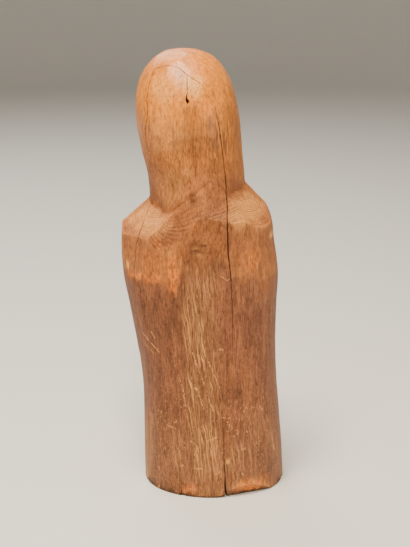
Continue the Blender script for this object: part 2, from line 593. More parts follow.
def robe_field(across, forward, z):
    curl = NECKLINE.curl * across**2 * ramp(z, NECKLINE.starts, NECKLINE.height)
    level = z - curl
    half = along(OPENING, level)
    pleats = 1 - 2 * carved_fold(math.pi * PLEATS.count * across / (2 * half))
    front = along(ROBE_FRONT, level) * np.sqrt(np.maximum(1 - (across / ROBE_BREADTH) ** 2, 0))
    front = front + PLEATS.depth * pleats * ramp(z, PLEATS.top, PLEATS.full)
    front = front - HEM.line_depth * bell(level - HEM.line, HEM.line_width)
    sides = np.abs(across) - half - ROBE_TUCK
    ends = np.maximum(HEM.height - level, level - NECKLINE.height)
    body = smooth_max(forward - front, ends, BLENDS.robe)
    return np.maximum(body, np.maximum(sides, ROBE_BEHIND - forward))


def underskirt_field(across, forward, z):
    front = HEM.recess * np.sqrt(np.maximum(1 - (across / ROBE_BREADTH) ** 2, 0))
    sides = np.abs(across) - OPENING[0][1] - ROBE_TUCK
    ends = np.maximum(PLINTH_TOP / 2 - z, z - HEM.height - 1)
    return np.maximum(np.maximum(forward - front, ROBE_BEHIND - forward), np.maximum(sides, ends))


def shoe_field(side, x, forward, z):
    centre = float(along(MIDLINE, 0)) + side * SHOE.across
    aside = x - centre
    ahead = forward - (SHOE.front - SHOE.length / 2)
    turn = side * SHOE.turn
    u = aside * math.cos(turn) - ahead * math.sin(turn)
    v = aside * math.sin(turn) + ahead * math.cos(turn)
    up = (z - PLINTH_TOP) / SHOE.height
    share = np.sqrt((u / SHOE.half_width) ** 2 + (2 * v / SHOE.length) ** 2 + up**2)
    return (share - 1) * SHOE.height


def neck_field(across, forward, z):
    radius = lerp(NECK.flare, NECK.radius, (z - NECK.bottom) / (NECK.top - NECK.bottom))
    ends = np.maximum(NECK.bottom - z, z - NECK.top)
    return np.maximum(np.hypot(across, forward - NECK.set) - radius, ends)


def bead(across, up, shape, side=1):
    """How far forward a flattened ball stands at each place, and nothing outside its outline."""
    centre, middle, half_width, half_height, depth, front = shape
    share = ((across - side * centre) / half_width) ** 2 + ((up - middle) / half_height) ** 2
    return front - depth * (1 - np.sqrt(np.maximum(1 - share, 0))) - 40 * (share > 1)


def bare_face(across, up):
    side = np.abs(across)
    rounding = 1 - np.sqrt(np.maximum(0, 1 - (across / FACE_BREADTH) ** 2))
    socket = bell(side - SOCKET.across, SOCKET.width) * bell(up - SOCKET.up, SOCKET.tall)
    cheek = bell(side - CHEEK.across, CHEEK.width) * bell(up - CHEEK.up, CHEEK.tall)
    front = along(FACE_PROFILE, up) - FACE_ROUNDNESS * rounding
    return front - SOCKET.depth * socket + CHEEK.height * cheek


def nose_front(across, up, face):
    share = np.clip(np.abs(across / along(NOSE_HALF_WIDTH, up)), 0, 1)
    ridge = lerp(face - 1, along(NOSE_RIDGE, up), np.cos(math.pi / 2 * share) ** 0.8)
    beyond = (up < NOSE_RIDGE[0][0]) | (up > NOSE_RIDGE[-1][0])
    return np.where(beyond, face - 5, ridge)


def brow_height(across, up):
    t = np.clip((np.abs(across) - BROW.inner) / (BROW.outer - BROW.inner), 0, 1)
    taper = np.sqrt(np.sin(math.pi * lerp(0.12, 0.94, t)))
    middle = BROW.up - BROW.curve * (np.abs(across) - BROW.across) ** 2
    w = np.clip((up - middle) / (BROW.tall * taper), -1, 1)
    side = np.abs(across)
    inner, outer = BROW.inner, BROW.outer
    inside = ramp(side, inner - 1, inner + 1) * ramp(side, outer + 1, outer - 1)
    return BROW.height * np.cos(math.pi / 2 * w) * taper * inside


def face_front(across, up):
    face = bare_face(across, up)
    front = smooth_max(face, nose_front(across, up, face), BLENDS.nose) + brow_height(across, up)
    for side in (-1, 1):
        front = smooth_max(front, bead(across, up, NOSTRIL_WING, side), BLENDS.wing)
        lid = bead(across, up, EYELID, side)
        aside = across - side * EYELID[0]
        lash = LID_LINE.up + LID_LINE.sag * aside**2
        line = bell(up - lash, LID_LINE.width) * ramp(np.abs(aside), *LID_LINE.reach)
        front = smooth_max(front, lid, BLENDS.lid) - LID_LINE.depth * line
    lips = np.maximum(bead(across, up, UPPER_LIP), bead(across, up, LOWER_LIP))
    front = smooth_max(front, lips, BLENDS.lips)
    mouth = bell(up - MOUTH.up - MOUTH.curve * across**2, MOUTH.width)
    mouth = mouth * ramp(np.abs(across), *MOUTH.reach)
    philtrum = bell(across, PHILTRUM.width) * bell(up - PHILTRUM.up, PHILTRUM.tall)
    return front - MOUTH.depth * mouth - PHILTRUM.depth * philtrum


def face_field(across, forward, z):
    up = z - FACE_CENTRE + FACE_DROP * across
    sides = np.abs(across) - along(FACE_HALF_WIDTH, up)
    ends = np.maximum(FACE_PROFILE[0][0] - up, up - FACE_PROFILE[-1][0])
    outline = np.maximum(smooth_max(sides, ends, BLENDS.face_sides), HEAD_BACK - forward)
    return smooth_max(forward - face_front(across, up), outline, BLENDS.face)


def hair_field(across, forward, z):
    up = z - FACE_CENTRE + FACE_DROP * across - HAIR.up
    inner = np.hypot(across / HAIR_INNER[0], up / HAIR_INNER[1])
    outer = np.hypot(across / HAIR_OUTER[0], up / HAIR_OUTER[1])
    v = (inner - 1) / np.maximum(inner - outer, 1e-3)
    width = lerp(HAIR_INNER[0], HAIR_OUTER[0], np.clip(v, 0, 1))
    tall = lerp(HAIR_INNER[1], HAIR_OUTER[1], np.clip(v, 0, 1))
    turn = np.arctan2(across / width, up / tall)
    swell = HAIR.swell * np.sin(math.pi * np.clip(v, 0, 1))
    wave = waves(np.abs(turn), HAIR_WAVES)
    grooves = HAIR_STRANDS.depth * carved_fold(2 * math.pi * (HAIR_STRANDS.count * v + wave))
    parting = HAIR_PARTING.depth * bell(across, HAIR_PARTING.width)
    front = HAIR.front - HAIR.fall * np.sin(turn) ** 2 - HAIR.slope * v + swell - parting - grooves
    band = np.maximum(-v, v - 1) * HAIR.breadth
    ends = (np.abs(turn) - math.radians(HAIR.reach)) * HAIR.radius
    body = smooth_max(forward - front, np.maximum(band, ends), BLENDS.hair)
    return np.maximum(body, HEAD_BACK - forward)


def sleeve_field(side, across, forward, z):
    t = (SLEEVE_ELBOW - side * across) / (SLEEVE_ELBOW - SLEEVE_MOUTH)
    inside = np.clip(t, 0, 1)
    half = along(SLEEVE_HALF_HEIGHT, inside)
    w = (z - along(SLEEVE_MIDDLE, inside)) / half
    rest = np.maximum(1 - w**2, 0)
    phase = math.pi * SLEEVE_FOLDS.count * w + SLEEVE_FOLDS.drift * inside
    folds = SLEEVE_FOLDS.depth * np.cos(phase) * inside * rest
    cuff = CUFF_LINE.depth * bell(t - CUFF_LINE.place, CUFF_LINE.width)
    base = along(SLEEVE_FRONT, inside) + folds - cuff
    full = along(SLEEVE_FULLNESS, inside)
    ahead = np.maximum(forward - base, 0) / full
    share = np.sqrt(ahead ** (1 / SLEEVE_ROUNDNESS) + w**2)
    ends = np.maximum(-t, t - 1) * (SLEEVE_ELBOW - SLEEVE_MOUTH)
    behind = lerp(0, SLEEVE_BEHIND, inside) - forward
    return smooth_max((share - 1) * np.minimum(half, full), np.maximum(ends, behind), BLENDS.sleeve)


def hand_field(side, across, forward, z):
    thick = along(HAND_HALF_THICKNESS, z)
    broad = along(HAND_HALF_BREADTH, z)
    ahead = forward - along(HAND_MIDDLE, z)
    aside = side * across - thick * HAND_GAP
    total = np.abs(aside / thick) ** HAND_SQUARENESS + np.abs(ahead / broad) ** HAND_SQUARENESS
    share = total ** (1 / HAND_SQUARENESS)
    most = FINGERS.count / 2
    row = np.clip(ahead / broad, -1, 1) * most
    between = bell((row - np.round(row)) * broad / most, FINGERS.gap)
    outside = (np.abs(row) < most - FINGERS.end) * (aside > -FINGERS.inner * thick)
    groove = FINGERS.depth * between * ramp(z, *FINGERS.root) * outside
    ends = np.maximum(HAND_MIDDLE[0][0] - z, z - HAND_MIDDLE[-1][0])
    return np.maximum((share - 1) * thick + groove, ends)


def thumb_field(side, across, forward, z):
    height = np.clip(z, THUMB.bottom, THUMB.top)
    rise = (height - THUMB.bottom) / (THUMB.top - THUMB.bottom)
    ahead = forward - (along(HAND_MIDDLE, height) - THUMB.behind - THUMB.lean * rise)
    aside = side * across - THUMB.out
    radius = THUMB.radius - THUMB.taper * rise
    return np.sqrt(aside**2 + ahead**2 + (z - height) ** 2) - radius


# Carved additions in front of the log: (lowest, highest, blend, field).
ADDITIONS = [
    (12, 235, 0.8, lambda x, a, f, z: robe_field(a, f, z)),
    (4, 15, 0.6, lambda x, a, f, z: underskirt_field(a, f, z)),
    (0, 18, 0.6, lambda x, a, f, z: np.minimum(shoe_field(-1, x, f, z), shoe_field(1, x, f, z))),
    (211, 241, 1.2, lambda x, a, f, z: neck_field(a, f, z)),
    (228, 296, 1.2, lambda x, a, f, z: face_field(a, f, z)),
    (240, 300, 0.6, lambda x, a, f, z: hair_field(a, f, z)),
    (149, 217, 0.5, lambda x, a, f, z: np.minimum(hand_field(-1, a, f, z), hand_field(1, a, f, z))),
    (166, 206, 0.8, lambda x, a, f, z: np.minimum(thumb_field(-1, a, f, z), thumb_field(1, a, f, z))),
    (134, 192, 0.7, lambda x, a, f, z: np.minimum(sleeve_field(-1, a, f, z), sleeve_field(1, a, f, z))),
]


def chips(across, forward):
    """How badly the lower edge is chipped, from 0 to 1, round the log."""
    turn = np.arctan2(across, forward)
    highest = sum(height for height, _, _ in EDGE_WAVES)
    return np.clip(waves(turn, EDGE_WAVES) / highest - BASE_EDGE.kept, 0, 1)


def statue_field(x, y, z):
    """About how far outside the carved wood a point is, in millimetres, and negative inside it."""
    across = x - along(MIDLINE, z)
    forward = -y
    low, high = np.min(z), np.max(z)
    if low > NAPE_TOP:
        body = veil_field(across, forward, z)
    else:
        body = torso_field(x, y, z, across, forward)
        if high > VEIL_BOTTOM:
            cut, foot = nape_fields(across, forward, z)
            body = smooth_max(body, cut, CUT_ROUNDING)
            body = smooth_min(body, np.maximum(foot, bark_field(across, forward, z)), NAPE_BLEND)
        for normal, offset in NAPE_PLANES:
            plane = normal[0] * x + normal[1] * y + normal[2] * z + offset
            body = smooth_max(body, plane - 2 * np.maximum(z - NAPE_CUTS_TOP, 0), CUT_ROUNDING)
    body = body + rim_line(across, forward, z)
    hollow = np.maximum(opening_edge(across, z), along(OPENING_FLOOR, z) - forward)
    body = smooth_max(body, -hollow, BLENDS.opening)
    for bottom, top, blend, field in ADDITIONS:
        if high > bottom - 3 and low < top + 3:
            body = smooth_min(body, field(x, across, forward, z), blend)
    if low < 8:
        edge = BASE_EDGE.wear + BASE_EDGE.chips * chips(across, forward)
        body = np.maximum(body, (body - z) * 0.707 + edge)
    return smooth_max(body, -z, BLENDS.base)


def grid_line(stretches):
    parts = [np.arange(start, stop, step) for start, stop, step in stretches]
    return np.concatenate(parts)


def sample_field(heights, acrosses, backwards):
    shape = (len(heights), len(acrosses), len(backwards))
    field = np.empty(shape, dtype=np.float32)
    x = acrosses[None, :, None].astype(np.float32)
    y = backwards[None, None, :].astype(np.float32)
    for row in range(0, len(heights), SLAB_ROWS):
        z = heights[row : row + SLAB_ROWS, None, None].astype(np.float32)
        field[row : row + SLAB_ROWS] = statue_field(x, y, z)
    return field


def join_diagonals(field):
    """Fills one corner wherever two samples inside touch only across a square, so that the surface closes."""
    for first, second in ((0, 1), (1, 2), (0, 2)):
        inside = field < 0
        corners = {}
        for i, j in itertools.product((0, 1), repeat=2):
            part = [slice(None)] * 3
            part[first] = slice(i, -1 if i == 0 else None)
            part[second] = slice(j, -1 if j == 0 else None)
            corners[i, j] = tuple(part)
        a, b, c, d = (inside[corners[k]] for k in ((0, 0), (1, 0), (0, 1), (1, 1)))
        field[corners[1, 0]][a & d & ~b & ~c] = JOIN_DEPTH
        field[corners[0, 0]][b & c & ~a & ~d] = JOIN_DEPTH


def surface_nets(field, axes):
    """The vertices and quads of the surface where the sampled field changes sign."""
    inside = field < 0
    stride = np.array([field.shape[1] * field.shape[2], field.shape[2], 1])
    quads, crossings = [], []
    for axis in range(3):
        near = [slice(None)] * 3
        far = [slice(None)] * 3
        near[axis] = slice(None, -1)
        far[axis] = slice(1, None)
        index = np.argwhere(inside[tuple(near)] != inside[tuple(far)])
        ahead = index.copy()
        ahead[:, axis] += 1
        here = field[tuple(index.T)].astype(float)
        there = field[tuple(ahead.T)].astype(float)
        share = here / (here - there)
        point = np.stack([axes[k][index[:, k]] for k in range(3)], axis=1)
        point[:, axis] = lerp(axes[axis][index[:, axis]], axes[axis][ahead[:, axis]], share)
        second, third = (axis + 1) % 3, (axis + 2) % 3
        cell = index @ stride
        around = np.stack(
            [cell, cell - stride[second], cell - stride[second] - stride[third], cell - stride[third]], axis=1
        )
        around[here > 0] = around[here > 0][:, ::-1]
        quads.append(around)
        crossings.append(point)
    quads = np.concatenate(quads)
    crossings = np.repeat(np.concatenate(crossings), 4, axis=0)
    _, corner = np.unique(quads.ravel(), return_inverse=True)
    count = np.bincount(corner)
    vertices = np.stack([np.bincount(corner, weights=crossings[:, k]) / count for k in range(3)], axis=1)
    return vertices, corner.reshape(-1, 4)


def mesh_from(name, vertices, faces):
    """A mesh of faces that all have the same number of corners."""
    corners = faces.shape[1]
    mesh = bpy.data.meshes.new(name)
    mesh.vertices.add(len(vertices))
    mesh.vertices.foreach_set("co", np.ascontiguousarray(vertices, dtype=np.float32).ravel())
    mesh.loops.add(faces.size)
    mesh.loops.foreach_set("vertex_index", faces.ravel().astype(np.int32))
    mesh.polygons.add(len(faces))
    mesh.polygons.foreach_set("loop_start", np.arange(0, faces.size, corners, dtype=np.int32))
    mesh.update(calc_edges=True)
    return mesh


def carve():
    heights, acrosses, backwards = (grid_line(g) for g in (GRID_HEIGHTS, GRID_ACROSS, GRID_BACKWARD))
    field = sample_field(heights, acrosses, backwards)
    for _ in range(JOIN_ROUNDS):
        join_diagonals(field)
    vertices, faces = surface_nets(field, (heights, acrosses, backwards))
    vertices = vertices[:, [1, 2, 0]]
    return mesh_from("madonna_wood", vertices * MM, faces)


def coordinates(mesh):
    """The mesh's vertices in millimetres."""
    flat = np.empty(len(mesh.vertices) * 3, dtype=np.float32)
    mesh.vertices.foreach_get("co", flat)
    return flat.reshape(-1, 3).astype(float) / MM


def normals(mesh):
    flat = np.empty(len(mesh.vertices) * 3, dtype=np.float32)
    mesh.vertex_normals.foreach_get("vector", flat)
    return flat.reshape(-1, 3).astype(float)


def value_noise(points, size, channel=0):
    """Smooth random values from -1 to 1, with features of the given size along each axis."""
    place = points / np.array(size, dtype=float)
    cell = np.floor(place).astype(int)
    t = place - cell
    t = t * t * (3 - 2 * t)
    total = np.zeros(len(points))
    for corner in itertools.product((0, 1), repeat=3):
        i, j, k = ((cell + corner) % LATTICE_SIZE).T
        weight = np.prod(np.where(corner, t, 1 - t), axis=1)
        total += weight * LATTICE[i, j, k, channel]
    return 2 * total - 1


def unevenness(points, noises):
    """A sum of noises, each given as (height, size of its features, channel)."""
    return sum(height * value_noise(points, size, channel) for height, size, channel in noises)


def gouge_marks(points, size):
    """Shallow round hollows side by side: 0 in the middle of each, rising to the ridges between them."""
    place = points / np.array(size, dtype=float)
    cell = np.floor(place).astype(int)
    nearest = np.full(len(points), 9.0)
    for step in itertools.product((-1, 0, 1), repeat=3):
        index = cell + step
        i, j, k = (index % LATTICE_SIZE).T
        seed = index + LATTICE[i, j, k]
        nearest = np.minimum(nearest, ((place - seed) ** 2).sum(axis=1))
    return np.minimum(nearest, 1)


def on_log(points):
    """A point's place on the log's own axes: across, forward and height."""
    x, y, z = points.T
    return x - along(MIDLINE, z), -y, z


def bark_share(points):
    """1 where the surface is still the log's own, 0 where a tool has been at it."""
    across, forward, z = on_log(points)
    depth = -bark_field(across, forward, z)
    return ramp(depth, *SKIN.depth) * ramp(forward, *SKIN.forward) * (z < SKIN.top)


def patches(points, spots):
    """How strongly each point of the back lies in one of the spots."""
    x, y, z = points.T
    ragged = unevenness(points, PATCH_EDGE)
    total = np.zeros(len(points))
    for centre_x, centre_z, half_width, half_height, strength in spots:
        share = np.hypot((x - centre_x) / half_width, (z - centre_z) / half_height) + ragged
        total = np.maximum(total, strength * ramp(share, *PATCH_FADE))
    return total * ramp(y, *PATCH_SIDES)


def wear(mesh):
    """Moves the surface in and out by what tools, growth and handling have left on it."""
    points = coordinates(mesh)
    bark = bark_share(points)
    across, forward, z = on_log(points)
    strip = ramp(np.abs(across - RAISED_FIBRES.centre), *RAISED_FIBRES.across)
    strip = strip * ramp(-forward, *RAISED_FIBRES.behind)
    natural = unevenness(points, FIBRES) * (1 + RAISED_FIBRES.more * strip)
    natural = natural + unevenness(points, SLOW_SWELL)
    head = ramp(z, *HEAD_STARTS) * ramp(forward, *BEHIND_FACE)
    front = ramp(forward, *FRONT_STARTS)
    body_marks = gouge_marks(points, GOUGES.size) - GOUGE_LEVEL
    head_marks = gouge_marks(points, GOUGES.head_size) - GOUGE_LEVEL
    gouged = lerp(GOUGES.height * (1 - head), GOUGES.front, front) * body_marks
    gouged = gouged + GOUGES.head * head * (1 - front) * head_marks
    carved = gouged + unevenness(points, FINE_RELIEF)
    move = lerp(carved, natural, bark) - PIT_DEPTH * patches(points, PITS)
    points += normals(mesh) * (move * ramp(z, 0, 2))[:, None]
    mesh.vertices.foreach_set("co", (points * MM).astype(np.float32).ravel())
    mesh.update()


def placed(name, data):
    """A new object, linked into the scene."""
    obj = bpy.data.objects.new(name, data)
    bpy.context.scene.collection.objects.link(obj)
    return obj


def fitted(name, mesh, triangles):
    """The mesh brought down to about this many triangles, fewest where it is flat."""
    dense = placed(name, mesh)
    modifier = dense.modifiers.new("fit", "DECIMATE")
    modifier.ratio = triangles / (2 * len(mesh.polygons))
    modifier.use_collapse_triangulate = True
    graph = bpy.context.evaluated_depsgraph_get()
    small = bpy.data.meshes.new_from_object(dense.evaluated_get(graph))
    bpy.data.objects.remove(dense)
    bpy.data.meshes.remove(mesh)
    return small


def cleft(surface, route, depth, radial):
    """The wedge of a crack along its route on the back, as vertices and faces."""
    route = np.array(route, dtype=float)
    length = np.concatenate([[0], np.cumsum(np.hypot(*np.diff(route[:, :2], axis=0).T))])
    steps = np.linspace(0, length[-1], max(4, int(length[-1] / CRACK_STEP)))
    x, z, half = (along(np.stack([length, route[:, k]], axis=1), steps) for k in range(3))
    places = np.stack([x, z, steps], axis=1)
    x = x + unevenness(places, CRACK_STRAY)
    half = half * (1 + unevenness(places, CRACK_SWELL))
    middle, inward = [], []
    for at_x, at_z in zip(x, z):
        start = Vector((at_x, WELL_BEHIND, max(at_z, 1))) * MM
        place, normal, _, _ = surface.ray_cast(start, Vector((0, -1, 0)))
        place = np.array((at_x, place.y / MM, at_z))
        heart = np.array((float(along(MIDLINE, at_z)), 0, at_z)) - place
        middle.append(place)
        inward.append(heart / np.linalg.norm(heart) if radial else -np.array(normal))
    middle = np.array(middle)
    inward = np.array(inward)
    run = np.gradient(middle, axis=0)
    aside = np.cross(run, inward)
    aside /= np.linalg.norm(aside, axis=1)[:, None]
    spread = aside * (half * (depth + CRACK_PROUD) / depth)[:, None]
    mouth = middle - inward * CRACK_PROUD
    rings = np.stack([mouth - spread, mouth + spread, middle + inward * depth], axis=1)
    count = len(rings)
    faces = []
    for i in range(count - 1):
        for a, b in ((0, 1), (1, 2), (2, 0)):
            low, high = 3 * i, 3 * i + 3
            faces += [(low + a, high + b, low + b), (low + a, high + a, high + b)]
    last = 3 * (count - 1)
    faces += [(0, 1, 2), (last, last + 2, last + 1)]
    return rings.reshape(-1, 3), faces


def split(wood):
    """Opens the drying cracks in the finished surface."""
    for cracks in CRACKS:
        surface = BVHTree.FromObject(wood, bpy.context.evaluated_depsgraph_get())
        vertices, faces = [], []
        for route, depth, radial in cracks:
            wedge, sides = cleft(surface, route, depth, radial)
            faces += [tuple(len(vertices) + k for k in side) for side in sides]
            vertices += (wedge * MM).tolist()
        cutter_mesh = bpy.data.meshes.new("cracks")
        cutter_mesh.from_pydata(vertices, [], faces)
        for material in wood.data.materials:
            cutter_mesh.materials.append(material)
        cutter_mesh.polygons.foreach_set("material_index", [1] * len(faces))
        cutter = placed("cracks", cutter_mesh)
        cut = wood.modifiers.new("cracks", "BOOLEAN")
        cut.operation = "DIFFERENCE"
        cut.solver = "EXACT"
        cut.material_mode = "TRANSFER"
        cut.object = cutter
        opened = bpy.data.meshes.new_from_object(wood.evaluated_get(bpy.context.evaluated_depsgraph_get()))
        wood.modifiers.clear()
        wood.data = opened
        bpy.data.objects.remove(cutter)


def edge_ends(mesh):
    """The vertices at the two ends of every edge."""
    edges = np.empty(len(mesh.edges) * 2, dtype=np.int32)
    mesh.edges.foreach_get("vertices", edges)
    return edges.reshape(-1, 2).T


def bends(mesh, points):
    """How the surface bends round each vertex, in millimetres: above 0 on ridges, below 0 in hollows."""
    a, b = edge_ends(mesh)
    count = np.maximum(np.bincount(a, minlength=len(points)) + np.bincount(b, minlength=len(points)), 1)

    def spread(values):
        total = np.bincount(a, weights=values[b], minlength=len(points))
        return (total + np.bincount(b, weights=values[a], minlength=len(points))) / count

    middle = points
    for _ in range(BEND_STEPS):
        middle = np.stack([spread(middle[:, k]) for k in range(3)], axis=1)
    bend = ((points - middle) * normals(mesh)).sum(axis=1)
    for _ in range(BEND_SMOOTHING):
        bend = 0.5 * bend + 0.5 * spread(bend)
    return bend


def paint(mesh, name, values):
    """Keeps a value for each vertex, which the wood's material reads by name."""
    layer = mesh.attributes.new(name, "FLOAT", "POINT")
    layer.data.foreach_set("value", values.astype(np.float32))


def cut_tones(points, facing):
    """How pale or dark the wood is on the faces that single chisel cuts have left."""
    tones = np.zeros(len(points))
    for planes, listed in ((CUT_PLANES, CUT_TONES), (NAPE_PLANES, NAPE_CUT_TONES)):
        for place, tone in listed:
            normal, offset = planes[place]
            near = ramp(np.abs(points @ normal + offset), *CUT_NEARNESS) * ramp(facing @ normal, *CUT_FACING)
            tones = np.where(near > 0, tone * near, tones)
    return tones


def near_cracks(mesh):
    """1 on the walls of the cracks and close round them."""
    a, b = edge_ends(mesh)
    near = np.zeros(len(mesh.vertices))
    for face in mesh.polygons:
        if face.material_index == 1:
            near[list(face.vertices)] = 1
    for _ in range(CRACK_MARGIN):
        wider = near.copy()
        np.maximum.at(wider, a, near[b])
        np.maximum.at(wider, b, near[a])
        near = wider
    return near


def paint_wood(mesh):
    """Paints what the material needs to know about each vertex."""
    points = coordinates(mesh)
    facing = normals(mesh)
    across, forward, z = on_log(points)
    bend = bends(mesh, points)
    whole = 1 - near_cracks(mesh)
    dirt = ramp(z + unevenness(points, FOOT_GRIME.ragged), *FOOT_GRIME.height)
    paint(mesh, "ridge", ramp(bend, *RIDGE_BENDS) * whole * (1 - dirt))
    paint(mesh, "hollow", ramp(-bend, *HOLLOW_BENDS) * whole)

    aged_top = AGED.top + AGED.rise * bell(points[:, 0] - AGED.centre, AGED.spread)
    aged_top = aged_top + unevenness(points, AGED.ragged)
    paint(mesh, "bark", bark_share(points) * ramp(z, aged_top + AGED.edge, aged_top - AGED.edge))

    radial = np.stack([across, -forward], axis=1) / np.maximum(np.hypot(across, forward), 1)[:, None]
    outward = (facing[:, :2] * radial).sum(axis=1)
    paint(mesh, "crossing", ramp(np.sqrt(np.maximum(1 - outward**2, 0)), *CROSSING_SLANTS))
    paint(mesh, "heart", np.hypot(across, forward))

    back = ramp(-forward, *BACK_STARTS)
    strip = ramp(np.abs(points[:, 0] - along(STRIP.middle, z)), *STRIP.across) * back
    strip = strip * ramp(z, *STRIP.top) * lerp(STRIP_FADE.least, 1, ramp(z, *STRIP_FADE.height))
    low = ramp(unevenness(points, LOW_WEAR.noise), *LOW_WEAR.share) * ramp(z, *LOW_WEAR.height)
    low = LOW_WEAR.strength * low * back
    paint(mesh, "strip", np.maximum(strip, low) * ramp(z, *STRIP.foot))
    paint(mesh, "back", back)
    paint(mesh, "front", ramp(forward, *FACE_STARTS))

    paint(mesh, "tone", cut_tones(points, facing))
    paint(mesh, "dark", np.maximum(patches(points, DARK_SPOTS), FOOT_GRIME.strength * dirt))
    paint(mesh, "pale", patches(points, PALE_SPOTS))
    paint(mesh, "orange", patches(points, ORANGE_SPOTS) * (1 - dirt))


class Nodes:
    """Short calls that add nodes to a material, each taking numbers or other nodes' outputs."""

    def __init__(self, name):
        self.material = bpy.data.materials.new(name)
        self.material.use_nodes = True
        self.tree = self.material.node_tree
        self.shader = self.tree.nodes["Principled BSDF"]

    def feed(self, socket, value):
        if isinstance(value, bpy.types.NodeSocket):
            self.tree.links.new(value, socket)
        else:
            socket.default_value = value

    def add(self, kind, settings, inputs, output=0):
        node = self.tree.nodes.new(kind)
        for name, value in settings.items():
            setattr(node, name, value)
        for name, value in inputs.items():
            self.feed(node.inputs[name], value)
        return node.outputs[output]

    def math(self, operation, a, b=0.0):
        return self.add("ShaderNodeMath", {"operation": operation}, {0: a, 1: b})

    def times(self, a, b):
        return self.math("MULTIPLY", a, b)

    def plus(self, a, b):
        return self.math("ADD", a, b)

    def most(self, a, b):
        return self.math("MAXIMUM", a, b)

    def scaled(self, value, slope, start):
        return self.plus(self.times(value, slope), start)

    def weighed(self, values, weights):
        """The sum of the values that have a weight, each times its own."""
        parts = [self.times(values[name], weight) for name, weight in weights.items()]
        return functools.reduce(self.plus, parts)

    def vector(self, operation, a, b, output="Vector"):
        second = "Scale" if operation == "SCALE" else 1
        return self.add("ShaderNodeVectorMath", {"operation": operation}, {0: a, second: b}, output)

    def step(self, value, start, stop):
        """Rises smoothly from 0 at start to 1 at stop, and falls where start is the larger."""
        if start > stop:
            return self.math("SUBTRACT", 1.0, self.step(value, stop, start))
        settings = {"interpolation_type": "SMOOTHSTEP"}
        return self.add("ShaderNodeMapRange", settings, {"Value": value, "From Min": start, "From Max": stop})

    def painted(self, name):
        return self.add("ShaderNodeAttribute", {"attribute_name": name}, {}, "Fac")

    def random(self, value):
        return self.add("ShaderNodeTexWhiteNoise", {"noise_dimensions": "1D"}, {"W": value}, "Value")

    def stretched(self, coordinates, size, turn=(0, 0, 0)):
        """The coordinates, turned and then divided by a size along each axis."""
        inputs = {"Vector": coordinates, "Rotation": turn}
        return self.vector("DIVIDE", self.add("ShaderNodeMapping", {"vector_type": "POINT"}, inputs), size)

    def noise(self, vector, detail, roughness=0.5):
        inputs = {"Vector": vector, "Scale": 1.0, "Detail": detail, "Roughness": roughness}
        return self.add("ShaderNodeTexNoise", {}, inputs, "Fac")

    def texture(self, place, name):
        """One of the noises in TEXTURES."""
        size, detail, roughness, *rise = TEXTURES[name]
        value = self.noise(self.stretched(place, size), detail, roughness)
        return self.step(value, *rise) if rise else value

    def mixed(self, share, a, b, blend="MIX"):
        """Two colours mixed, with the given share of the second."""
        node = self.tree.nodes.new("ShaderNodeMix")
        node.data_type = "RGBA"
        node.blend_type = blend
        for socket, value in ((0, share), (6, a), (7, b)):
            self.feed(node.inputs[socket], value)
        return node.outputs[2]


def winding_lines(n, place, size, lean, width):
    """Thin lines that wind along where a stretched noise passes through its middle value."""
    across, up = size
    value = n.noise(n.stretched(place, (across, across, up), (0, math.radians(lean), 0)), 2.0, 0.55)
    return n.step(n.math("ABSOLUTE", n.plus(value, -0.5)), width, 0.2 * width)


def wander(n, place):
    """How far, in millimetres, the worn lines stray sideways from a straight course."""
    strays = [n.times(n.plus(n.texture(place, name), -0.5), reach) for name, reach in WOBBLE.items()]
    return n.plus(*strays)


def worn_lines(n, place, stray, pitch, lean, half_width, length):
    """Thin, almost parallel lines that wander, break off and start again, each on its own."""
    leaning = n.vector("DOT_PRODUCT", place, (1, 0, math.tan(math.radians(lean))), "Value")
    count = n.times(n.plus(leaning, stray), 1 / pitch)
    line = n.math("FLOOR", count)
    middle = n.scaled(n.random(n.plus(line, lean)), 0.5, 0.25)
    away = n.times(n.math("ABSOLUTE", n.math("SUBTRACT", n.math("FRACT", count), middle)), pitch)
    along_line = n.vector("ADD", n.vector("MULTIPLY", place, (0, 0, 1 / length)), n.times(line, LINES_APART))
    there = n.step(n.noise(along_line, 2.0, 0.6), *LINES_SHOW)
    return n.step(n.plus(away, n.times(there, -half_width)), 0.5 * half_width, -0.5 * half_width)


def nicks(n, place, size, lean, width, share):
    """Scattered thin strokes, at most one in each cell of the given size."""
    across, up = size
    cells = n.stretched(place, (across, FAR, up), (0, math.radians(lean), 0))
    node = n.tree.nodes.new("ShaderNodeTexVoronoi")
    n.feed(node.inputs["Vector"], cells)
    node.inputs["Scale"].default_value = 1.0
    chance = n.add("ShaderNodeSeparateColor", {}, {0: node.outputs["Color"]}, 0)
    stroke = n.step(node.outputs["Distance"], width, width * 0.45)
    return n.times(stroke, n.step(chance, 1 - share, 1.3 - share))


def scratch_line(n, flat, start, end, half_width):
    """1 on the line between two (x, z) places, seen straight from the back."""
    run = Vector((end[0] - start[0], 0, end[1] - start[1]))
    from_start = n.vector("SUBTRACT", flat, (start[0], 0, start[1]))
    along_run = n.vector("DOT_PRODUCT", from_start, run / run.length_squared, "Value")
    nearest = n.vector("SCALE", run, n.add("ShaderNodeClamp", {}, {"Value": along_run}))
    away = n.vector("DISTANCE", from_start, nearest, "Value")
    return n.step(away, half_width * 1.4, half_width * 0.6)


